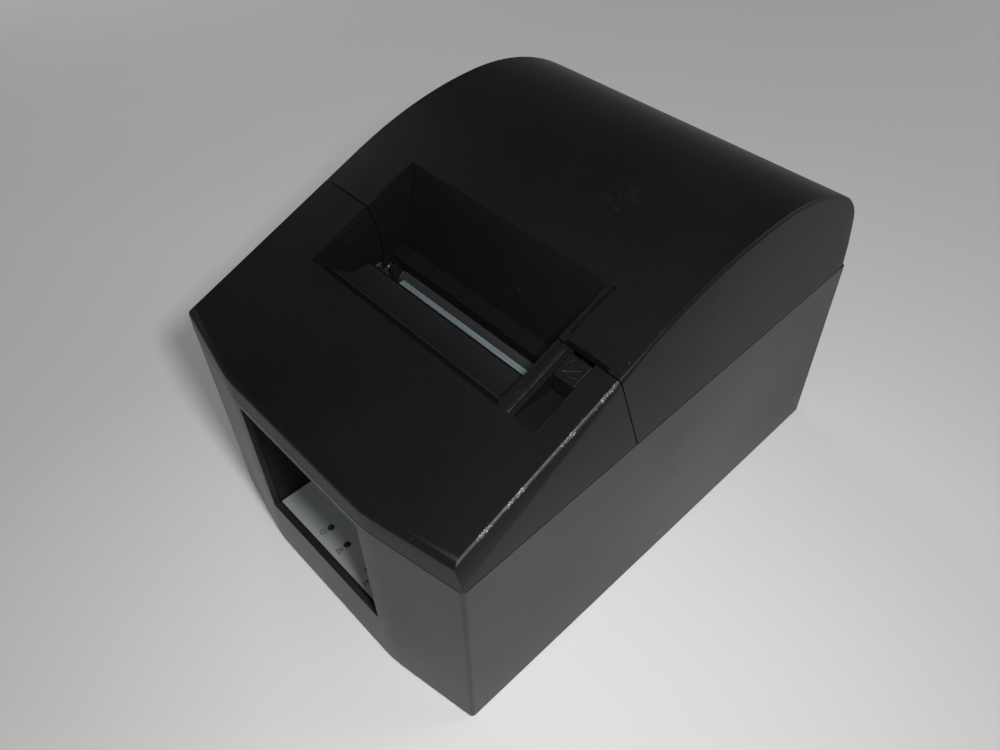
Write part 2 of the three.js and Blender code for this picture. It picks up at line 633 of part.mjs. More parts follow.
function makeCutter() {
  const half = RECESS_HALF - 0.6;
  const { front, back, low, high } = CUTTER_HOUSING;
  const housing = block(-half, half, front, back, low, high);
  const bladeSlot = block(-BLADE.half - 2, BLADE.half + 2, BLADE.front - 1.5, back + 1,
    BLADE.low - BLADE.room, BLADE.high + BLADE.room);
  const gearSlot = block(CUTTER.left - 1, CUTTER.right + 1, CUTTER.y - 6, CUTTER.y + 6, low - 1, BLADE.low);
  place("cutter_housing", cut(housing, bladeSlot, gearSlot), innerBlack);
  const blade = prismZ([
    [-BLADE.half, BLADE.front], [BLADE.half, BLADE.front], [BLADE.half, BLADE.back],
    [0, BLADE.back - BLADE.vee], [-BLADE.half, BLADE.back],
  ], BLADE.low, BLADE.high);
  place("cutter_blade", blade, bladeSteel);
  const strip = GUIDE_STRIP;
  place("paper_guide_strip", block(strip.left, strip.right, strip.front, strip.back,
    strip.low, strip.high), bladeSteel);
  const outline = gearOutline(CUTTER.pinion, CUTTER.y, CUTTER.z, TEETH.cutter);
  const gear = prismX(outline, CUTTER.left, CUTTER.right);
  const bore = rodX(CUTTER.shaft + GAP, CUTTER.left - 1, CUTTER.right + 1, CUTTER.y, CUTTER.z, 12);
  place("cutter_gear", cut(gear, bore), gearWhite);
  const motorLeft = CUTTER.right + 2.4;
  const motor = rodX(CUTTER.motor, motorLeft, CUTTER.end, CUTTER.y, CUTTER.z);
  const shaft = rodX(CUTTER.shaft, CUTTER.left - 0.6, motorLeft + 1, CUTTER.y, CUTTER.z, 12);
  place("cutter_motor", join(motor, shaft), steel);
}

const MOTOR_BOSS = { radius: 1.8, right: -48.5 };
const IDLER_WEB = { count: 5, radius: 3.4, reach: 0.55 };
const IDLER_PIN = { radius: 1.5, head: 3.2, headThick: 1.2 };

function makeFeedDrive() {
  const { y, z } = MOTOR;
  const left = -FRAME_IN + GAP;
  const motor = rodX(MOTOR.radius, left, MOTOR.right, y, z, 32);
  const recess = rodX(MOTOR_BOSS.radius + 2 * GAP, left - 1, MOTOR_BOSS.right + 0.5, y, z, 16);
  place("paper_motor", cut(motor, recess), steel);
  const pinion = prismX(gearOutline(PINION_RADIUS, y, z, TEETH.pinion), GEAR_OUT, GEAR_IN);
  const boss = rodX(MOTOR_BOSS.radius, GEAR_IN - 1, MOTOR_BOSS.right, y, z, 16);
  place("motor_pinion", join(pinion, boss), steel);
  const idler = prismX(gearOutline(IDLER.radius, IDLER.y, IDLER.z, TEETH.idler), GEAR_OUT, GEAR_IN);
  const through = (radius, dy, dz) => rodX(radius, GEAR_OUT - 1, GEAR_IN + 1, IDLER.y + dy, IDLER.z + dz, 16);
  const webs = [];
  for (let i = 0; i < IDLER_WEB.count; i += 1) {
    const angle = 2 * Math.PI * i / IDLER_WEB.count;
    const reach = IDLER.radius * IDLER_WEB.reach;
    webs.push(through(IDLER_WEB.radius, reach * Math.cos(angle), reach * Math.sin(angle)));
  }
  const idlerBore = through(IDLER_PIN.radius + 2 * GAP, 0, 0);
  place("idler_gear", cut(idler, ...webs, idlerBore), gearWhite);
  const headBack = GEAR_OUT - 0.4;
  const pin = rodX(IDLER_PIN.radius, headBack - 0.4, -FRAME_IN + 0.2, IDLER.y, IDLER.z, 16);
  const pinHead = rodX(IDLER_PIN.head, headBack - IDLER_PIN.headThick, headBack, IDLER.y, IDLER.z, 16);
  place("idler_pin", join(pin, pinHead), steel);
}

function makePlaten() {
  const half = PAPER_WIDTH / 2 + 1;
  const { y, z, roller, shaft } = PLATEN;
  const bore = rodX(shaft + GAP, -HALF, HALF, y, z);
  place("platen_shaft", rodX(shaft, GEAR_OUT - 0.5, FRAME_IN + 3, y, z), steel);
  place("platen_roller", cut(rodX(roller, -half, half, y, z, 40), bore), rubber);
  const gear = prismX(gearOutline(PLATEN_GEAR_RADIUS, y, z, TEETH.platen), GEAR_OUT, GEAR_IN);
  place("platen_gear", cut(gear, bore), gearWhite);
  const armIn = half + 3;
  const armOut = armIn + 2.4;
  const holderTop = 96.6;
  const reach = 7;
  const bushRadius = 5;
  const bar = block(-armOut, armOut, y + 8.8, y + 11, z - reach, holderTop);
  const arm = (x0, x1) => block(x0, x1, y - reach, y + 10, z - reach, holderTop);
  const seat = rodX(bushRadius + GAP, -HALF, HALF, y, z);
  const holder = cut(join(bar, arm(armIn, armOut), arm(-armOut, -armIn)), seat);
  place("platen_holder", holder, innerBlack);
  const bush = (x0, x1) => cut(rodX(bushRadius, x0, x1, y, z), bore);
  place("platen_bush_left", bush(-armOut, -armIn), gearWhite);
  place("platen_bush_right", bush(armIn, armOut), gearWhite);
}

// ---------------------------------------------------------------- hinge
const BRACKET = { inner: 60, outer: 63, front: 180, back: 190, low: 12 };

function makeHinge() {
  const bracket = (x0, x1) => {
    const post = block(x0, x1, BRACKET.front, BRACKET.back, BRACKET.low, HINGE.z + HINGE.knuckle);
    const arm = block(x0, x1, BRACKET.back - 1, HINGE.y,
      HINGE.z - HINGE.knuckle, HINGE.z + HINGE.knuckle);
    const knuckle = rodX(HINGE.knuckle, x0, x1, HINGE.y, HINGE.z);
    const hole = rodX(HINGE.rod + GAP, x0 - 1, x1 + 1, HINGE.y, HINGE.z);
    return cut(join(post, arm, knuckle), hole);
  };
  place("hinge_bracket_left", bracket(-BRACKET.outer, -BRACKET.inner), steel);
  place("hinge_bracket_right", bracket(BRACKET.inner, BRACKET.outer), steel);
  place("hinge_rod", rodX(HINGE.rod, -65, 65, HINGE.y, HINGE.z), steel);
}

// ---------------------------------------------------------------- hopper and boards
function hopperOutline(radius, top) {
  const points = [[HOPPER.y + radius, top]];
  const steps = 16;
  for (let i = 0; i <= steps; i += 1) {
    const angle = Math.PI * i / steps;
    points.push([HOPPER.y + radius * Math.cos(angle), HOPPER.z - radius * Math.sin(angle)]);
  }
  points.push([HOPPER.y - radius, top]);
  return points.reverse();
}

function makeHopper() {
  const { half, top, wall, radius } = HOPPER;
  const outer = prismX(hopperOutline(radius + wall, top), -half - wall, half + wall);
  const inner = prismX(hopperOutline(radius, top + 5), -half, half);
  place("paper_hopper", cut(outer, inner), innerBlack);
}

// boards lie flat near the floor; parts are x, y spans or centres with a radius, and a top
const BOARD = { low: 7, high: 8.6, sink: 8 };
const MAIN_BOARD = { half: 60, front: 100, back: 186 };
const MAIN_PARTS = {
  processor: { x: [-20, 4], y: [110, 134], top: 10.6 },
  memory: { x: [14, 30], y: [112, 122], top: 10 },
  driver: { x: [40, 54], y: [150, 170], top: 11 },
  headConnector: { x: [-54, -42], y: [108, 128], top: 15 },
  motorConnector: { x: [48, 56], y: [108, 140], top: 14 },
};
const SUPPLY_BOARD = { half: 56, front: 50, back: 92 };
const SUPPLY_PARTS = {
  transformer: { x: [-50, -22], y: [56, 86], top: 20 },
  coil: { x: [-14, 6], y: [56, 84], top: 17 },
};
const CAPACITORS = [
  { radius: 8, x: 20, y: 70, top: 20 },
  { radius: 6, x: 40, y: 62, top: 19 },
  { radius: 6, x: 40, y: 80, top: 19 },
];

function makeBoards() {
  const sheet = ({ half, front, back }) => block(-half, half, front, back, BOARD.low, BOARD.high);
  const chip = ({ x, y, top }) => block(...x, ...y, BOARD.sink, top);
  const can = ({ radius, x, y, top }) => rodZ(radius, BOARD.sink, top, x, y);
  place("main_board", join(sheet(MAIN_BOARD), ...Object.values(MAIN_PARTS).map(chip)), boardGreen);
  place("power_supply", join(sheet(SUPPLY_BOARD),
    ...Object.values(SUPPLY_PARTS).map(chip), ...CAPACITORS.map(can)), boardGreen);
}

// ---------------------------------------------------------------- back panel and sockets
const SOCKETS = {
  power_inlet: [-47, -25, 14, 30, 1.4],
  interface_socket: [-9, 4, 14, 26, 1],
  drawer_socket: [13, 28, 13, 28, 1.4],
};
const SOCKET_DEEP = 14;
const ROCKER = { x: 42, y: 200, z: 24, halfX: 5.5, halfZ: 8, tilt: THREE.MathUtils.degToRad(7) };

function turned([y, z], centre, angle) {
  const dy = y - centre.y;
  const dz = z - centre.z;
  return [
    centre.y + dy * Math.cos(angle) - dz * Math.sin(angle),
    centre.z + dy * Math.sin(angle) + dz * Math.cos(angle),
  ];
}

function makeBackPanel() {
  const panelBack = BAY.panel + BAY.thick;
  const panel = block(-BAY.half + GAP, BAY.half - GAP, BAY.panel, panelBack,
    BAY.low + GAP, BAY.high - GAP);
  const holes = Object.values(SOCKETS).map(([x0, x1, z0, z1]) =>
    block(x0 - GAP, x1 + GAP, 190, FAR, z0 - GAP, z1 + GAP));
  const { x, z, halfX, halfZ } = ROCKER;
  const wall = 1.3;
  const rockerHole = block(x - halfX - wall - GAP, x + halfX + wall + GAP, 190, FAR,
    z - halfZ - wall - GAP, z + halfZ + wall + GAP);
  const screwSpots = [[-50, 40], [50, 40]];
  const screwHoles = screwSpots.map(([sx, sz]) => rodY(1.6, 190, FAR, sx, sz, 12));
  place("back_panel", cut(panel, ...holes, rockerHole, ...screwHoles), steel);
  Object.entries(SOCKETS).forEach(([name, [x0, x1, z0, z1, skin]]) => {
    const shell = block(x0, x1, panelBack - SOCKET_DEEP, panelBack + 0.8, z0, z1);
    const hollow = block(x0 + skin, x1 - skin, panelBack - SOCKET_DEEP + 2, FAR, z0 + skin, z1 - skin);
    place(name, cut(shell, hollow), name === "interface_socket" ? steel : innerBlack);
  });
  const cup = block(x - halfX - wall, x + halfX + wall, panelBack - SOCKET_DEEP, panelBack + 0.8,
    z - halfZ - wall, z + halfZ + wall);
  const cupHollow = block(x - halfX, x + halfX, panelBack - SOCKET_DEEP + 2, FAR, z - halfZ, z + halfZ);
  place("switch_housing", cut(cup, cupHollow), innerBlack);
  const side = 0.5;
  const level = [
    [panelBack - 6, z - halfZ + 2.4], [panelBack + 2.2, z - halfZ + 1],
    [panelBack + 0.8, z], [panelBack + 2.2, z + halfZ - 1], [panelBack - 6, z + halfZ - 2.4],
  ];
  const off = level.map((point) => turned(point, ROCKER, -ROCKER.tilt));
  const rocker = prismX(off, x - halfX + side, x + halfX - side);
  place("power_rocker", rocker, innerBlack);
  screwSpots.forEach(([sx, sz], i) => {
    const head = rodY(2.6, panelBack + GAP, panelBack + 1.6, sx, sz, 16);
    const shank = rodY(1.2, panelBack - 5, panelBack + 1, sx, sz, 12);
    place(`panel_screw_${i + 1}`, join(head, shank), steel);
  });
}

const COVER_SWITCH = { x: [64.5, 67.5], y: [84, 92], z: [82, 89] };
const PAPER_END_SENSOR = { x: [44.6, 48.6], y: [150, 158], z: [34, 42] };

function makeSensors() {
  const box = ({ x, y, z }) => block(...x, ...y, ...z);
  place("cover_switch", box(COVER_SWITCH), innerBlack);
  place("paper_end_sensor", box(PAPER_END_SENSOR), innerBlack);
}

makeLowerCase();
makeBottom();
makeFrontCover();
makeRearCover();
makeWindow();
makeLatch();
makeFrames();
makePrintHead();
makeCutter();
makeFeedDrive();
makePlaten();
makeHinge();
makeHopper();
makeBoards();
makeBackPanel();
makeSensors();

export default printer;
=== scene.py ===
"""Looks of a desktop thermal receipt printer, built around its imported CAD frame."""
import json
import math

import bmesh
import bpy
from mathutils import Matrix, Vector


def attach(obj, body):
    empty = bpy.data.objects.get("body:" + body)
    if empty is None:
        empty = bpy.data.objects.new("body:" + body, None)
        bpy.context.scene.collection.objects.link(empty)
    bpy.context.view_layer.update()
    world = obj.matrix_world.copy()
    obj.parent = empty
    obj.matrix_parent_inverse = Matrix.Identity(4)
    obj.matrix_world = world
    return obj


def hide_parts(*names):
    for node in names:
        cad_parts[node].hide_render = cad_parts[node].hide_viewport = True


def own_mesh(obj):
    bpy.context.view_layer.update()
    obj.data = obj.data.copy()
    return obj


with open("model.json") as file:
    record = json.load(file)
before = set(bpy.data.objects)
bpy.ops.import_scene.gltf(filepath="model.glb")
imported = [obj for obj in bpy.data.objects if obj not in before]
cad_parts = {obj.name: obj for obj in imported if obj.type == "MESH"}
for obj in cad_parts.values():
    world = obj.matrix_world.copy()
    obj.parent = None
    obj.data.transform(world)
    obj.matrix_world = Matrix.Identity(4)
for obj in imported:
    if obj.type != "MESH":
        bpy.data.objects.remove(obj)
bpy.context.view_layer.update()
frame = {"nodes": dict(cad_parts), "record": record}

MM = 0.001
FRONT_TO_MIDDLE = 109
NODES = frame["nodes"]
RECORD = frame["record"]
BODY_OF = {node: body for body, nodes in RECORD["behaviour"]["bodies"].items() for node in nodes}


# ---------------------------------------------------------------- camera
# a hand camera above the front right corner, looking down at the printer
CAMERA_PLACE = Vector((0.16193, -0.17051, 0.29716))
CAMERA_AZIMUTH = math.radians(46.703)
CAMERA_ELEVATION = math.radians(46.765)
CAMERA_ROLL = math.radians(-0.568)
CAMERA_LENS = 29.54


def camera_axes():
    """The camera's right, up and back directions."""
    a, e, r = CAMERA_AZIMUTH, CAMERA_ELEVATION, CAMERA_ROLL
    back = Vector((math.sin(a) * math.cos(e), -math.cos(a) * math.cos(e), math.sin(e)))
    right = Vector((math.cos(a), math.sin(a), 0))
    up = back.cross(right)
    return (right * math.cos(r) + up * math.sin(r),
            up * math.cos(r) - right * math.sin(r), back)


def make_camera():
    camera = bpy.data.objects.new("camera", bpy.data.cameras.new("camera"))
    camera.data.lens = CAMERA_LENS
    camera.data.sensor_width = 36
    camera.data.clip_start = 0.01
    turn = Matrix(camera_axes()).transposed()
    camera.matrix_world = Matrix.Translation(CAMERA_PLACE) @ turn.to_4x4()
    bpy.context.scene.collection.objects.link(camera)
    bpy.context.scene.camera = camera


# ---------------------------------------------------------------- light
HORIZON_STRENGTH = 0.2
ZENITH_STRENGTH = 0.03
ZENITH_FROM = 0.7
SKY_WHITE = (0.95, 0.97, 1.0, 1)
WARM_WHITE = (1.0, 0.995, 0.985)
COOL_WHITE = (0.98, 0.99, 1.0)
AIM = Vector((0.0, 0.0, 0.07))
FLASH = {"right": 0.03, "up": 0.026, "size": 0.035, "power": 0.95}
ROOM = {"direction": (0.7, -0.8, 1.2), "strength": 0.78, "spread": math.radians(24)}
SOFTBOXES = {
    "softbox_left": {"place": (-1.3, 0.3, 0.4), "size": 0.5, "power": 3.6},
    "softbox_back": {"place": (0.75, 1.1, 0.7), "size": 0.8, "power": 4.8},
}


def aim_light(light, place, color):
    """Sets a lamp at a place, pointing at the middle of the printer."""
    light.color = color
    lamp = bpy.data.objects.new(light.name, light)
    place = Vector(place)
    aim = (AIM - place).to_track_quat("-Z", "Y")
    lamp.matrix_world = Matrix.Translation(place) @ aim.to_matrix().to_4x4()
    bpy.context.scene.collection.objects.link(lamp)


def disk_light(name, place, size, power, color):
    light = bpy.data.lights.new(name, "AREA")
    light.shape = "DISK"
    light.size = size
    light.energy = power
    aim_light(light, place, color)


def room_light(name, direction, strength, spread, color):
    """Even soft light that reaches the whole floor from one side."""
    light = bpy.data.lights.new(name, "SUN")
    light.energy = strength
    light.angle = spread
    aim_light(light, direction, color)


def make_sky():
    """A dim room, darker overhead than near the horizon."""
    world = bpy.data.worlds.new("studio")
    world.use_nodes = True
    nodes, links = world.node_tree.nodes, world.node_tree.links
    direction = nodes.new("ShaderNodeTexCoord").outputs["Generated"]
    height = nodes.new("ShaderNodeSeparateXYZ")
    links.new(direction, height.inputs[0])
    fade = nodes.new("ShaderNodeMapRange")
    fade.inputs["From Max"].default_value = ZENITH_FROM
    fade.inputs["To Min"].default_value = HORIZON_STRENGTH
    fade.inputs["To Max"].default_value = ZENITH_STRENGTH
    links.new(height.outputs["Z"], fade.inputs["Value"])
    sky = nodes["Background"]
    sky.inputs["Color"].default_value = SKY_WHITE
    links.new(fade.outputs["Result"], sky.inputs["Strength"])
    bpy.context.scene.world = world


def make_light():
    make_sky()
    right, up, _ = camera_axes()
    beside_lens = CAMERA_PLACE + right * FLASH["right"] + up * FLASH["up"]
    disk_light("flash", beside_lens, FLASH["size"], FLASH["power"], WARM_WHITE)
    room_light("room", ROOM["direction"], ROOM["strength"], ROOM["spread"], COOL_WHITE)
    for name, box in SOFTBOXES.items():
        disk_light(name, box["place"], box["size"], box["power"], COOL_WHITE)
    bpy.context.scene.view_settings.view_transform = "Standard"


# ---------------------------------------------------------------- materials
class Paint:
    """Builds the nodes of one material around its Principled shader."""

    # places of the colour sockets on a mix node
    COLOR_A, COLOR_B, COLOR_OUT = 6, 7, 2

    def __init__(self, name, metallic=0.0, **sockets):
        self.material = bpy.data.materials.new(name)
        self.material.use_nodes = True
        self.nodes = self.material.node_tree.nodes
        self.links = self.material.node_tree.links
        self.shader = self.nodes["Principled BSDF"]
        self.shader.inputs["Metallic"].default_value = metallic
        for socket, value in sockets.items():
            self.shader.inputs[socket.replace("_", " ")].default_value = value
        self.place = self.nodes.new("ShaderNodeTexCoord").outputs["Object"]

    def feed(self, socket, value):
        if isinstance(value, bpy.types.NodeSocket):
            self.links.new(value, socket)
        elif isinstance(value, tuple) and len(value) == 3 and socket.type == "RGBA":
            socket.default_value = (*value, 1)
        else:
            socket.default_value = value

    def stretched(self, stretch):
        mapping = self.nodes.new("ShaderNodeMapping")
        self.feed(mapping.inputs["Vector"], self.place)
        self.feed(mapping.inputs["Scale"], stretch)
        return mapping.outputs["Vector"]

    def noise(self, scale, detail=2.0, stretch=None):
        """Cloudy noise with a feature size of one over scale, in metres."""
        node = self.nodes.new("ShaderNodeTexNoise")
        self.feed(node.inputs["Vector"], self.stretched(stretch) if stretch else self.place)
        self.feed(node.inputs["Scale"], scale)
        self.feed(node.inputs["Detail"], detail)
        return node.outputs["Fac"]

    def cells(self, scale, randomness=1.0):
        """Distance from scattered points, and a random colour for each point."""
        node = self.nodes.new("ShaderNodeTexVoronoi")
        self.feed(node.inputs["Vector"], self.place)
        self.feed(node.inputs["Scale"], scale)
        self.feed(node.inputs["Randomness"], randomness)
        return node.outputs["Distance"], node.outputs["Color"]

    def span(self, value, low, high, to_low=0.0, to_high=1.0):
        node = self.nodes.new("ShaderNodeMapRange")
        node.clamp = True
        for socket, number in zip(node.inputs, (value, low, high, to_low, to_high)):
            self.feed(socket, number)
        return node.outputs["Result"]

    def math(self, operation, a, b=0.0):
        node = self.nodes.new("ShaderNodeMath")
        node.operation = operation
        self.feed(node.inputs[0], a)
        self.feed(node.inputs[1], b)
        return node.outputs["Value"]

    def axis(self, vector, index):
        node = self.nodes.new("ShaderNodeSeparateXYZ")
        self.feed(node.inputs[0], vector)
        return node.outputs[index]

    def mix(self, share, first, second):
        node = self.nodes.new("ShaderNodeMix")
        node.data_type = "RGBA"
        self.feed(node.inputs[0], share)
        self.feed(node.inputs[self.COLOR_A], first)
        self.feed(node.inputs[self.COLOR_B], second)
        return node.outputs[self.COLOR_OUT]

    def color(self, value):
        self.feed(self.shader.inputs["Base Color"], value)

    def roughness(self, value):
        self.feed(self.shader.inputs["Roughness"], value)

    def bump(self, height, depth):
        node = self.nodes.new("ShaderNodeBump")
        self.feed(node.inputs["Height"], height)
        self.feed(node.inputs["Distance"], depth)
        self.links.new(node.outputs["Normal"], self.shader.inputs["Normal"])

    def smear(self, base, centre, reach, shade):
        """A faint ragged patch of dirt around a place."""
        offset = self.nodes.new("ShaderNodeVectorMath")
        offset.operation = "DISTANCE"
        self.feed(offset.inputs[0], self.place)
        self.feed(offset.inputs[1], centre)
        near = self.span(offset.outputs["Value"], reach, 0.2 * reach)
        ragged = self.span(self.noise(260, 5), 0.5, 0.68)
        return self.mix(self.math("MULTIPLY", near, ragged), base, shade)

    def dust(self, base, spacing, radius, share, shade):
        """Scattered specks of dust over a base colour."""
        distance, chance = self.cells(1 / spacing)
        near = self.span(distance, radius / spacing, 0.6 * radius / spacing)
        chosen = self.span(self.axis(chance, 0), 1 - share, 1 - share + 0.01)
        return self.mix(self.math("MULTIPLY", near, chosen), base, shade)


SMEAR_SHADE = (0.0105, 0.0105, 0.0095)
DUST_SHADE = (0.2, 0.2, 0.19)


def black_plastic(name, dark, light, rough, grain, ior=1.5, dusty=0.35, smears=()):
    """Moulded black plastic: fine spark texture, faint clouds, smudges and dust."""
    paint = Paint(name, IOR=ior)
    clouds = paint.noise(22, 4)
    mottle = paint.noise(700, 2)
    base = paint.mix(paint.span(clouds, 0.35, 0.7), dark, light)
    base = paint.mix(paint.span(mottle, 0.3, 0.8, 0, 0.35), base, tuple(1.6 * c for c in light))
    for centre, reach in smears:
        base = paint.smear(base, centre, reach, SMEAR_SHADE)
    paint.color(paint.dust(base, 7 * MM, 0.14 * MM, dusty, DUST_SHADE))
    smudge = paint.span(paint.noise(9, 5), 0.4, 0.75, rough - 0.04, rough + 0.07)
    fine = paint.span(paint.noise(1800, 3), 0.3, 0.7, -0.03, 0.03)
    paint.roughness(paint.math("ADD", smudge, fine))
    paint.bump(paint.noise(1500, 3), grain)
    return paint.material


def worn_edge_and_glint(name, dark, scuff_and_glint, share, rough=0.28):
    """Rubbed plastic with pale scuffs here and there; where they are pale and many, as on the front
    cover's right edge, they are partly a painted glint.
    """
    paint = Paint(name, IOR=1.35)
    patches = paint.span(paint.noise(160, 4), 0.62 - share, 0.72 - share)
    sparks = paint.span(paint.noise(2600, 2), 0.52, 0.66)
    paint.color(paint.mix(paint.math("MULTIPLY", patches, sparks), dark, scuff_and_glint))
    paint.roughness(paint.span(paint.noise(900, 3), 0.3, 0.7, rough, rough + 0.18))
    paint.bump(paint.noise(2200, 3), 0.03 * MM)
    return paint.material


def brushed_metal(name, color, rough, stretch, depth=0.004 * MM):
    """Metal with fine lines along one axis and a few stains."""
    paint = Paint(name, metallic=1.0)
    lines = paint.noise(900, 3, stretch)
    stains = paint.span(paint.noise(40, 4), 0.45, 0.75)
    shade = tuple(0.72 * c for c in color)
    base = paint.mix(paint.span(lines, 0.3, 0.7), shade, color)
    paint.color(paint.mix(paint.math("MULTIPLY", stains, 0.5), base, tuple(0.5 * c for c in color)))
    paint.roughness(paint.span(lines, 0.25, 0.75, rough - 0.08, rough + 0.12))
    paint.bump(lines, depth)
    return paint.material


def soft_rubber(name, dark, light):
    """Matte rubber with a few specks of dust."""
    paint = Paint(name)
    base = paint.mix(paint.noise(300, 4), dark, light)
    paint.color(paint.dust(base, 3 * MM, 0.12 * MM, 0.5, (0.2, 0.19, 0.18)))
    paint.roughness(paint.span(paint.noise(500, 3), 0.3, 0.7, 0.72, 0.92))
    paint.bump(paint.noise(1400, 4), 0.05 * MM)
    return paint.material


def label_film():
    """Grey film, slightly cloudy, with a few specks of dust."""
    paint = Paint("label_film")
    base = paint.mix(paint.noise(60, 3), (0.2, 0.216, 0.212), (0.25, 0.266, 0.262))
    paint.color(paint.dust(base, 4 * MM, 0.1 * MM, 0.4, (0.6, 0.6, 0.58)))
    paint.roughness(paint.span(paint.noise(800, 3), 0.3, 0.7, 0.36, 0.5))
    paint.bump(paint.noise(1200, 2), 0.01 * MM)
    return paint.material


def print_ink():
    paint = Paint("panel_ink")
    paint.color(paint.mix(paint.noise(900, 3), (0.02, 0.022, 0.025), (0.05, 0.052, 0.055)))
    paint.roughness(paint.span(paint.noise(600, 2), 0.3, 0.7, 0.45, 0.6))
    return paint.material


def led_resin(name, color):
    paint = Paint(name, Transmission_Weight=0.35, IOR=1.5)
    paint.color(paint.mix(paint.noise(500, 2), color, tuple(0.6 * c for c in color)))
    paint.roughness(paint.span(paint.noise(700, 2), 0.3, 0.7, 0.12, 0.25))
    return paint.material


def circuit_board():
    """Green solder mask with raised, lighter tracks and tinned pads."""
    paint = Paint("circuit_board")
    bricks = paint.nodes.new("ShaderNodeTexBrick")
    paint.feed(bricks.inputs["Vector"], paint.place)
    paint.feed(bricks.inputs["Scale"], 180)
    paint.feed(bricks.inputs["Mortar Size"], 0.06)
    tracks = paint.span(bricks.outputs["Fac"], 0.4, 0.6)
    mask = paint.mix(paint.noise(50, 3), (0.012, 0.07, 0.035), (0.02, 0.11, 0.05))
    mask = paint.mix(tracks, mask, (0.03, 0.17, 0.075))
    distance, chance = paint.cells(420, 0.35)
    pads = paint.math("MULTIPLY", paint.span(distance, 0.26, 0.22),
                      paint.span(paint.axis(chance, 1), 0.68, 0.7))
    paint.color(paint.mix(pads, mask, (0.55, 0.55, 0.52)))
    paint.roughness(paint.span(pads, 0, 1, 0.42, 0.28))
    paint.bump(tracks, 0.03 * MM)
    return paint.material


def chip_black():
    paint = Paint("chip_black")
    paint.color(paint.mix(paint.noise(900, 3), (0.018, 0.018, 0.019), (0.045, 0.045, 0.046)))
    paint.roughness(paint.span(paint.noise(1500, 3), 0.3, 0.7, 0.45, 0.62))
    paint.bump(paint.noise(2500, 2), 0.02 * MM)
    return paint.material


def gear_acetal():
    """Milky, slightly warm acetal with patches of grease."""
    paint = Paint("gear_acetal", Subsurface_Weight=0.12, Subsurface_Scale=0.002)
    base = paint.mix(paint.noise(120, 3), (0.62, 0.6, 0.52), (0.75, 0.73, 0.66))
    grease = paint.span(paint.noise(200, 4), 0.58, 0.7, 0, 0.4)
    paint.color(paint.mix(grease, base, (0.35, 0.3, 0.2)))
    paint.roughness(paint.span(grease, 0, 0.4, 0.42, 0.22))
    paint.bump(paint.noise(1300, 2), 0.01 * MM)
    return paint.material


def head_ceramic():
    """Brown glazed ceramic."""
    paint = Paint("head_ceramic")
    paint.color(paint.mix(paint.noise(80, 3), (0.3, 0.15, 0.07), (0.42, 0.24, 0.12)))
    paint.roughness(paint.span(paint.noise(300, 2), 0.3, 0.7, 0.12, 0.25))
    paint.bump(paint.noise(700, 2), 0.01 * MM)
    return paint.material


def gold_contact():
    paint = Paint("gold_contact", metallic=1.0)
    paint.color(paint.mix(paint.noise(600, 3), (0.8, 0.55, 0.2), (0.65, 0.42, 0.14)))
    paint.roughness(paint.span(paint.noise(900, 3), 0.3, 0.7, 0.2, 0.35))
    return paint.material


def pale_table():
    """A matte off-white table top."""
    paint = Paint("table_top", IOR=1.2)
    paint.color(paint.mix(paint.noise(3, 4), (0.65, 0.645, 0.64), (0.69, 0.685, 0.68)))
    paint.roughness(paint.span(paint.noise(30, 3), 0.3, 0.7, 0.8, 0.9))
    paint.bump(paint.noise(400, 3), 0.01 * MM)
    return paint.material


def guide_strip_painted_reflection():
    """Pale blue-grey paint on the strip that guides the paper: a painted reflection, standing in
    for the light the metal strip reflects.
    """
    paint = Paint("guide_strip_painted_reflection", metallic=0.3)
    lines = paint.noise(900, 3, (0.05, 1, 1))
    paint.color(paint.mix(paint.span(lines, 0.3, 0.7), (0.12, 0.155, 0.172), (0.19, 0.235, 0.255)))
    paint.roughness(paint.span(lines, 0.3, 0.7, 0.35, 0.5))
    paint.bump(lines, 0.004 * MM)
    return paint.material


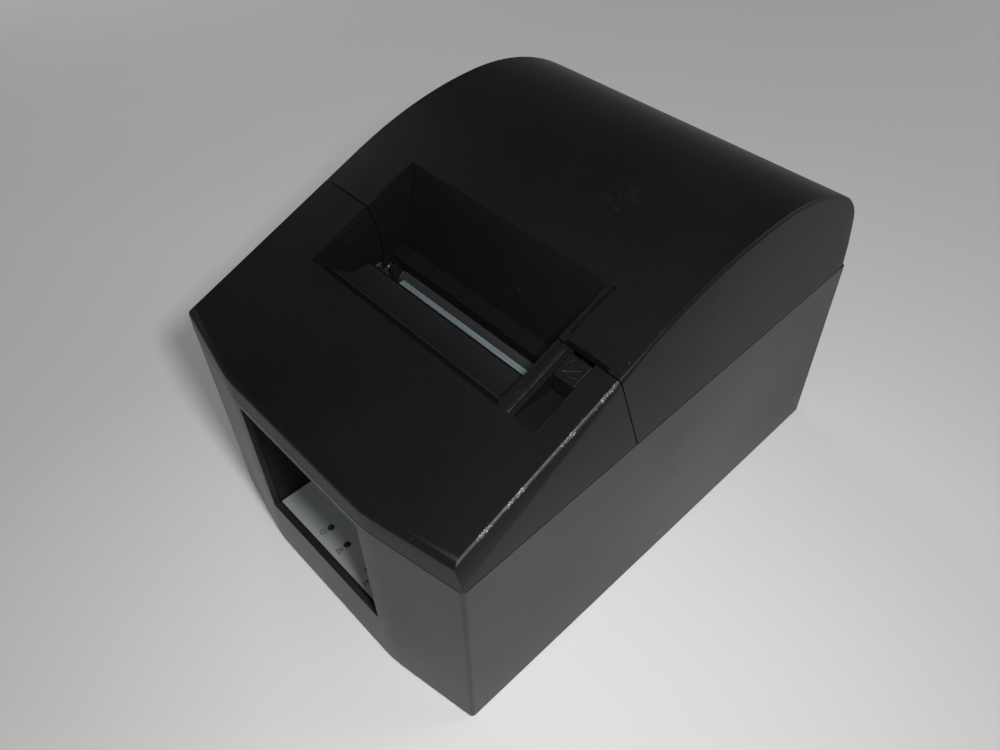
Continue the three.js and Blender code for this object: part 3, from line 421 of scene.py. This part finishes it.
def make_materials():
    ink, soft_ink = (0.0055, 0.0055, 0.0057), (0.0085, 0.0085, 0.0085)
    deep, soft_deep = (0.0038, 0.0038, 0.004), (0.0056, 0.0056, 0.0056)
    side_streak = ((73.5 * MM, 83 * MM, 44 * MM), 15 * MM)
    top_smudge = ((28 * MM, 12.5 * MM, 143 * MM), 11 * MM)
    return {
        "case": black_plastic("case_plastic", ink, soft_ink, 0.42, 0.022 * MM,
                              smears=[side_streak]),
        "cover": black_plastic("cover_plastic", deep, soft_deep, 0.4, 0.022 * MM, 1.25,
                               smears=[top_smudge]),
        # painted light: a lighter copy of the cover paint, so the recess floor looks as lit as the
        # top
        "plate": black_plastic("plate_painted_light", (0.0085, 0.0085, 0.0085), (0.012, 0.012, 0.012),
                               0.45, 0.022 * MM, 1.4),
        # painted shade: near-black paint for the faces at the parting line, standing in for the
        # shadow in the gap
        "seam": black_plastic("seam_painted_shade", (0.0012, 0.0012, 0.0012), (0.002, 0.002, 0.002),
                              0.7, 0.02 * MM, 1.2, 0.0),
        "case_edge": worn_edge_and_glint("case_edge", (0.009, 0.009, 0.009), (0.08, 0.08, 0.078), 0.02),
        "cover_edge": worn_edge_and_glint("cover_edge", (0.007, 0.007, 0.007), (0.09, 0.09, 0.088), 0.04),
        # partly painted highlight: many pale specks stand in for the glint along the right top
        # edge, besides real scuffs
        "scuffs_and_glint": worn_edge_and_glint("scuffed_edge_painted_glint", (0.016, 0.016, 0.016), (0.4, 0.4, 0.385), 0.13,
                             0.42),
        "scratch": worn_edge_and_glint("scratch", (0.03, 0.03, 0.03), (0.22, 0.22, 0.21), 0.3, 0.5),
        "inner": black_plastic("inner_plastic", (0.004, 0.004, 0.0042), (0.007, 0.007, 0.007),
                               0.54, 0.03 * MM, 1.35, 0.15),
        "steel": brushed_metal("sheet_steel", (0.52, 0.53, 0.54), 0.36, (1, 0.06, 1)),
        "blade": brushed_metal("blade_steel", (0.46, 0.52, 0.57), 0.34, (0.05, 1, 1)),
        "shaft": brushed_metal("turned_steel", (0.35, 0.36, 0.37), 0.3, (1, 0.3, 0.3)),
        "aluminium": brushed_metal("heat_sink", (0.62, 0.63, 0.64), 0.4, (0.05, 1, 1)),
        # painted reflection: pale paint in place of the light the metal strip reflects
        "strip": guide_strip_painted_reflection(),
        "rubber": soft_rubber("foot_rubber", (0.018, 0.018, 0.019), (0.04, 0.04, 0.04)),
        "roller": soft_rubber("roller_rubber", (0.005, 0.005, 0.005), (0.009, 0.009, 0.009)),
        "label": label_film(),
        "ink": print_ink(),
        "green": led_resin("led_green", (0.02, 0.07, 0.03)),
        "red": led_resin("led_red", (0.1, 0.018, 0.014)),
        "board": circuit_board(),
        "chip": chip_black(),
        "gear": gear_acetal(),
        "ceramic": head_ceramic(),
        "gold": gold_contact(),
    }


# ---------------------------------------------------------------- mesh helpers
ROUND_FROM = math.radians(46)
SMOOTH_BELOW = math.radians(40)


def add_object(name, mesh, materials):
    piece = bpy.data.objects.new(name, mesh)
    bpy.context.scene.collection.objects.link(piece)
    mesh.materials.clear()
    for material in materials:
        mesh.materials.append(material)
    return piece


def round_edges(piece, width, segments=3, edge_slot=None):
    """Rounds the sharp edges in the mesh itself, then smooths the shading."""
    bevel = piece.modifiers.new("rounded_edges", "BEVEL")
    bevel.limit_method = "ANGLE"
    bevel.angle_limit = ROUND_FROM
    bevel.width = width
    bevel.segments = segments
    bevel.use_clamp_overlap = True
    if edge_slot is not None:
        bevel.material = edge_slot
    bpy.context.view_layer.update()
    made = bpy.data.meshes.new_from_object(
        piece.evaluated_get(bpy.context.evaluated_depsgraph_get()))
    piece.modifiers.clear()
    piece.data = made
    for face in made.polygons:
        face.use_smooth = True
    made.set_sharp_from_angle(angle=SMOOTH_BELOW)
    shading = piece.modifiers.new("even_shading", "WEIGHTED_NORMAL")
    shading.keep_sharp = True


def cleaned_copy(node):
    """A node's mesh with its corners merged and its flat faces whole again."""
    mesh = NODES[node].data.copy()
    shape = bmesh.new()
    shape.from_mesh(mesh)
    bmesh.ops.remove_doubles(shape, verts=shape.verts, dist=0.002 * MM)
    bmesh.ops.dissolve_limit(shape, angle_limit=math.radians(0.4), verts=shape.verts,
                             edges=shape.edges)
    shape.to_mesh(mesh)
    shape.free()
    return mesh


def bar_mesh(name, bars):
    """A mesh of straight bars, each given by its two equally long end outlines."""
    mesh = bpy.data.meshes.new(name)
    points, faces = [], []
    for near, far in bars:
        first, count = len(points), len(near)
        points += [*near, *far]
        faces.append(tuple(range(first, first + count)))
        faces.append(tuple(range(first + count, first + 2 * count)))
        for i in range(count):
            j = (i + 1) % count
            faces.append((first + i, first + j, first + count + j, first + count + i))
    mesh.from_pydata(points, [], faces)
    shape = bmesh.new()
    shape.from_mesh(mesh)
    bmesh.ops.recalc_face_normals(shape, faces=shape.faces)
    shape.to_mesh(mesh)
    shape.free()
    return mesh


def finish_piece(piece, body):
    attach(piece, body)
    return piece


def skin(node, materials, width, segments=3, edge_slot=None):
    """A finely finished piece that stands for one CAD node."""
    piece = add_object(f"{node}_skin", cleaned_copy(node), materials)
    round_edges(piece, width, segments, edge_slot)
    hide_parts(node)
    return finish_piece(piece, BODY_OF[node])


def prism_ends(outline, low, high, axis):
    """The end outlines of a bar along X, Y or Z. The outline has the other two coordinates."""
    def ends(along):
        corners = [list(point) for point in outline]
        for corner in corners:
            corner.insert("XYZ".index(axis), along)
        return corners
    return ends(low), ends(high)


def part(name, bars, material, body, width):
    """A piece of its own made of bars with rounded edges."""
    piece = add_object(name, bar_mesh(name, bars), [material])
    round_edges(piece, width, 2)
    return finish_piece(piece, body)


def y_at(from_front):
    """The place of a distance in millimetres behind the front face."""
    return (from_front - FRONT_TO_MIDDLE) * MM


def side_outline(points):
    """Points given as millimetres behind the front and above the table."""
    return [(y_at(y), z * MM) for y, z in points]


def rectangle(u0, u1, v0, v1):
    return [(u0, v0), (u1, v0), (u1, v1), (u0, v1)]


# ---------------------------------------------------------------- pieces for the CAD nodes
# material slots of the case and its covers
EDGE_SLOT, SEAM_SHADE_SLOT, SCUFF_GLINT_SLOT = 1, 2, 3
# material slot of the chips, and the height of each bare board, in millimetres
CHIP_SLOT = 1
BOARD_TOPS = {"main_board": 8.6, "power_supply": 8.6, "panel_board": 16.6}
# the parting line lies between these heights
SEAM_LOW, SEAM_HIGH = 88 * MM, 96 * MM


def paint_seam_shade(piece, up):
    """Painted shade: the faces that meet at the parting line get near-black paint that stands in
    for the shadow in the gap.
    """
    for face in piece.data.polygons:
        if face.normal.z * up > 0.5 and SEAM_LOW < face.center.z < SEAM_HIGH:
            face.material_index = SEAM_SHADE_SLOT


def make_skins(paints):
    case = [paints["case"], paints["case_edge"], paints["seam"]]
    cover = [paints["cover"], paints["cover_edge"], paints["seam"], paints["scuffs_and_glint"]]
    paint_seam_shade(skin("lower_case", case, 0.16 * MM, 3, EDGE_SLOT), 1)
    for node in ("front_cover", "rear_cover"):
        paint_seam_shade(skin(node, cover, 0.18 * MM, 3, EDGE_SLOT), -1)
    skin("cover_lever", cover, 0.18 * MM, 3, EDGE_SLOT)
    small = {
        "inner": ("window_bezel", "feed_button", "lever_guide", "cutter_housing", "platen_holder",
                  "paper_hopper", "power_inlet", "drawer_socket", "switch_housing",
                  "power_rocker", "cover_switch", "paper_end_sensor"),
        "steel": ("bottom_plate", "mechanism_frame_left", "mechanism_frame_right",
                  "mechanism_base", "mechanism_crossbar", "hinge_bracket_left",
                  "hinge_bracket_right", "back_panel", "interface_socket", "cutter_motor",
                  "paper_motor"),
        "shaft": ("platen_shaft", "hinge_rod", "idler_pin", "motor_pinion"),
        "blade": ("cutter_blade",),
        "strip": ("paper_guide_strip",),
        "gear": ("cutter_gear", "idler_gear", "platen_gear"),
        "rubber": ("foot_front_left", "foot_front_right", "foot_back_left", "foot_back_right"),
        "roller": ("platen_roller",),
    }
    for paint, nodes in small.items():
        for node in nodes:
            skin(node, [paints[paint]], 0.25 * MM, 2)
    for node in ("platen_bush_left", "platen_bush_right"):
        skin(node, [paints["chip"]], 0.2 * MM, 2)
    skin("head_heat_sink", [paints["aluminium"]], 0.15 * MM, 2)
    skin("print_head", [paints["ceramic"]], 0.2 * MM, 2)
    skin("panel_label", [paints["label"]], 0.1 * MM, 2)
    skin("power_led", [paints["green"]], 0.3 * MM, 3)
    skin("error_led", [paints["red"]], 0.3 * MM, 3)
    for node in ("head_spring_left", "head_spring_right"):
        skin(node, [paints["shaft"]], 0.05 * MM, 1)
    lever_spring = skin("lever_spring", [paints["shaft"]], 0.05 * MM, 1)
    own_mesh(lever_spring)
    for node, top in BOARD_TOPS.items():
        board = skin(node, [paints["board"], paints["chip"]], 0.1 * MM, 2)
        for face in board.data.polygons:
            if face.center.z > (top + 0.1) * MM:
                face.material_index = CHIP_SLOT


def carve(piece, cutters):
    """Cuts the cutters out of the piece's mesh and removes them."""
    for cutter in cutters:
        cutting = piece.modifiers.new("cut", "BOOLEAN")
        cutting.object = cutter
        cutting.solver = "EXACT"
    bpy.context.view_layer.update()
    made = bpy.data.meshes.new_from_object(
        piece.evaluated_get(bpy.context.evaluated_depsgraph_get()))
    piece.modifiers.clear()
    piece.data = made
    for cutter in cutters:
        bpy.data.objects.remove(cutter)


def cross_bars(u, v, half, thin):
    return [rectangle(u - half, u + half, v - thin, v + thin),
            rectangle(u - thin, u + thin, v - half, v + half)]


PANEL_SCREWS = ((-50, 40), (50, 40))
CASE_SCREWS = ((-62, 20), (62, 20), (-62, 196), (62, 196))
CROSS = {"half": 1.5 * MM, "thin": 0.35 * MM}


def make_screws(paints):
    """Screw heads with a real cross recess."""
    screws = {}
    for i, (x, z) in enumerate(PANEL_SCREWS, 1):
        screws[f"panel_screw_{i}"] = (x * MM, z * MM, "Y", y_at(204), y_at(206))
    for i, (x, y) in enumerate(CASE_SCREWS, 1):
        screws[f"case_screw_{i}"] = (x * MM, y_at(y), "Z", -0.5 * MM, 1.0 * MM)
    for node, (u, v, axis, low, high) in screws.items():
        piece = add_object(f"{node}_skin", cleaned_copy(node), [paints["steel"]])
        cutters = []
        for outline in cross_bars(u, v, CROSS["half"], CROSS["thin"]):
            mesh = bar_mesh("cutter", [prism_ends(outline, low, high, axis)])
            cutters.append(add_object("cutter", mesh, [paints["ink"]]))
        carve(piece, cutters)
        round_edges(piece, 0.08 * MM, 2)
        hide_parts(node)
        finish_piece(piece, BODY_OF[node])


# ---------------------------------------------------------------- details of the case
# the sloping top, and the strip along its right edge with pale scuffs that are partly a painted
# glint, in millimetres
TOP_AT_FRONT = 99.69
TOP_RISE = 0.3859
SCUFF_GLINT_FROM = 69.5
SCUFF_GLINT_DEPTH = 1.05


def top_z(y):
    """Height of the sloping top, in millimetres."""
    return TOP_AT_FRONT + TOP_RISE * y


def scuff_and_glint_right_edge(cover):
    """Gives the narrow faces between the top and the right side pale scuffs that are partly wear
    and partly a painted glint.
    """
    for face in cover.data.polygons:
        x, y, z = face.center / MM
        on_edge = face.normal.x > 0.3 and face.normal.z > 0.2
        if on_edge and x > SCUFF_GLINT_FROM and z > top_z(y + FRONT_TO_MIDDLE) - SCUFF_GLINT_DEPTH:
            face.material_index = SCUFF_GLINT_SLOT


def make_case_details(paints):
    """What lines the recess and the lever channel, and the scuffs on the right edge of the front
    cover. The recess plate's lighter paint is painted light on the recess floor, and the edge's
    pale scuffs are partly a painted glint.
    """
    case = paints["cover"]
    lip = side_outline([(68.2, 101), (70, 101), (70, 101.7), (69.6, 102), (68.2, 102)])
    part("exit_lip", [prism_ends(lip, -46 * MM, 46 * MM, "X")], case, "base",
         0.15 * MM)
    # the plate's lighter paint is painted light on the recess floor
    plate = side_outline([(52.0, 109.2), (52.5, 109.9), (59.6, 104.1), (67.9, 103.6),
                          (67.9, 102.6), (59.0, 103.2)])
    part("recess_plate", [prism_ends(plate, -45.4 * MM, 45.4 * MM, "X")], paints["plate"],
         "base", 0.15 * MM)
    pad = side_outline([(56, top_z(56) - 1.4), (61.5, 113.2), (65.6, 107.6), (68.3, 103.4),
                        (74.4, 103.4), (74.5, 110), (73.8, 116), (72.4, 121),
                        (70.2, top_z(70.2) - 1.4)])
    for side, (low, high) in {"left": (-47.2, -46.0), "right": (46.0, 47.2)}.items():
        part(f"cheek_pad_{side}", [prism_ends(pad, low * MM, high * MM, "X")], case, "base",
             0.3 * MM)
    ridge = side_outline([(45.4, top_z(45.4) - 0.5), (45.9, top_z(45.9) + 0.3),
                          (69.2, top_z(69.2) + 0.3), (69.7, top_z(69.7) - 0.5)])
    part("channel_ridge", [prism_ends(ridge, 50.3 * MM, 51.4 * MM, "X")], paints["cover_edge"],
         "base", 0.2 * MM)
    scuff_and_glint_right_edge(bpy.data.objects["front_cover_skin"])


# the inside of the paper cover's roof: two arcs that meet at the crest, in millimetres
CREST = 145
ROOF_FRONT = {"centre": -18, "radius": 159.5}
ROOF_BACK = {"centre": 56, "radius": 85.5}
RIB = {"first": 102, "step": 8, "steps": 11, "deep": 2.6, "sunk": 0.6, "half": 0.7}
RIB_PLACES = (-56, -20, 20, 56)


def roof_z(y):
    arc = ROOF_FRONT if y < CREST else ROOF_BACK
    return arc["centre"] + math.sqrt(arc["radius"] ** 2 - (y - CREST) ** 2)


def make_cover_ribs(paints):
    """Stiffening ribs under the roof of the paper cover."""
    places = [RIB["first"] + RIB["step"] * i for i in range(RIB["steps"])]
    upper = [(y, roof_z(y) + RIB["sunk"]) for y in places]
    lower = [(y, roof_z(y) - RIB["deep"]) for y in reversed(places)]
    outline = side_outline(upper + lower)
    bars = [prism_ends(outline, (x - RIB["half"]) * MM, (x + RIB["half"]) * MM, "X")
            for x in RIB_PLACES]
    part("cover_ribs", bars, paints["cover"], "cover", 0.15 * MM)


# ---------------------------------------------------------------- panel and switch marks
LABEL_TOP = 27.8 * MM
ROCKER_X = 42 * MM
# the rocker's face at rest: low edge, ridge and high edge
ROCKER_FACE = ((204.308, 16.418), (203.772, 23.537), (206.014, 30.314))
MARK_SINK = 0.05 * MM
MARK_RISE = 0.03 * MM


def flat_mark(name, shapes, origin, right, up, body, material):
    """Thin raised print: outlines in millimetres on the plane through the origin."""
    origin, right, up = Vector(origin), Vector(right), Vector(up)
    out = right.cross(up)
    bars = []
    for shape in shapes:
        flat = [origin + (right * u + up * v) * MM for u, v in shape]
        bars.append(([p - out * MARK_SINK for p in flat], [p + out * MARK_RISE for p in flat]))
    piece = add_object(name, bar_mesh(name, bars), [material])
    return finish_piece(piece, body)


def band(radius, width, start, end, steps=16):
    """A curved band; angles in degrees from straight up."""
    def around(r, order):
        angles = [math.radians(start + (end - start) * i / steps) for i in order]
        return [(r * math.sin(angle), r * math.cos(angle)) for angle in angles]
    return around(radius, range(steps + 1)) + around(radius - width, range(steps, -1, -1))


def line(u0, v0, u1, v1, width):
    along = Vector((u1 - u0, v1 - v0)).normalized() * width / 2
    du, dv = -along.y, along.x
    return [(u0 + du, v0 + dv), (u0 - du, v0 - dv), (u1 - du, v1 - dv), (u1 + du, v1 + dv)]


def make_marks(paints):
    """Plain pictograms for power, fault and paper feed, and the rocker's I and O."""
    ink = paints["ink"]
    power = [band(1.2, 0.32, 35, 325), rectangle(-0.16, 0.16, 0.3, 1.4)]
    fault = [line(-1.3, -1, 0, 1.3, 0.3), line(0, 1.3, 1.3, -1, 0.3), line(1.3, -1, -1.3, -1, 0.3),
             rectangle(-0.15, 0.15, -0.2, 0.6), rectangle(-0.15, 0.15, -0.7, -0.4)]
    feed = [rectangle(-1.2, 1.2, -1.1, -0.8), rectangle(-0.2, 0.2, -0.6, 0.4),
            [(-0.8, 0.3), (0.8, 0.3), (0, 1.2)]]
    for name, shapes, x, y in (("power_mark", power, -9.9, 6.6), ("fault_mark", fault, 1.2, 6.4),
                               ("feed_mark", feed, 18.6, 5.4)):
        flat_mark(name, shapes, (x * MM, y_at(y), LABEL_TOP), (1, 0, 0), (0, 1, 0), "base", ink)
    corners = [Vector((ROCKER_X, y, z)) for y, z in side_outline(ROCKER_FACE)]
    marks = {"rocker_off_mark": [band(1.3, 0.4, 0, 180), band(1.3, 0.4, 180, 360)],
             "rocker_on_mark": [rectangle(-0.25, 0.25, -1.4, 1.4)]}
    for (name, shapes), low, high in zip(marks.items(), corners, corners[1:]):
        flat_mark(name, shapes, (low + high) / 2, (-1, 0, 0), (high - low).normalized(),
                  BODY_OF["power_rocker"], paints["gear"])


LEVER_TOP = (57.5, 66)


def make_scratches(paints):
    """Fine pale scratches where fingers pull the lever."""
    x, y = LEVER_TOP
    slope = math.atan(TOP_RISE)
    lever = [line(-2.4, -2.2, 2.2, 0.9, 0.1), line(0.2, -2.6, 2.9, -1.6, 0.08),
             line(-3.1, 0.4, -1.9, 2.7, 0.06)]
    flat_mark("lever_scratches", lever, (x * MM, y_at(y), top_z(y) * MM), (1, 0, 0),
              (0, math.cos(slope), math.sin(slope)), "latch", paints["scratch"])


# ---------------------------------------------------------------- inside the sockets
def box_ends(x, y, z):
    """A box from its three spans in millimetres, y behind the front face."""
    outline = side_outline(rectangle(*y, *z))
    return prism_ends(outline, x[0] * MM, x[1] * MM, "X")


SOCKET_FLOOR = 190.5
INLET_PINS = ((-41, 21), (-36, 24), (-31, 21))
TONGUE_CONTACTS = (-5, -3.3, -1.6, 0.1)
DRAWER_CONTACTS = (16.5, 18.1, 19.7, 21.3, 22.9, 24.5)


def make_socket_parts(paints):
    """Pins, a tongue and spring contacts inside the rear sockets."""
    floor = SOCKET_FLOOR
    pins = [box_ends((x - 0.6, x + 0.6), (floor, 201), (z - 2.4, z + 2.4)) for x, z in INLET_PINS]
    part("inlet_pins", pins, paints["blade"], "base", 0.3 * MM)
    part("interface_tongue", [box_ends((-6, 1), (floor, 200), (18, 21.6))], paints["inner"],
         "base", 0.3 * MM)
    contacts = [box_ends((x - 0.4, x + 0.4), (floor + 1, 199), (17.8, 18.2))
                for x in TONGUE_CONTACTS]
    part("interface_contacts", contacts, paints["gold"], "base", 0.05 * MM)
    wires = [box_ends((x - 0.25, x + 0.25), (floor, 201), (24.6, 25.1))
             for x in DRAWER_CONTACTS]
    part("drawer_contacts", wires, paints["gold"], "base", 0.08 * MM)


# ---------------------------------------------------------------- assembly
def make_floor():
    """A wide flat table under the printer."""
    mesh = bpy.data.meshes.new("table_top")
    reach = 14.0
    corners = [(-reach, -reach, 0), (reach, -reach, 0), (reach, reach, 0), (-reach, reach, 0)]
    mesh.from_pydata(corners, [], [(0, 1, 2, 3)])
    add_object("table_top", mesh, [pale_table()])


make_camera()
make_light()
make_floor()
paints = make_materials()
make_skins(paints)
make_screws(paints)
make_case_details(paints)
make_cover_ribs(paints)
make_marks(paints)
make_scratches(paints)
make_socket_parts(paints)
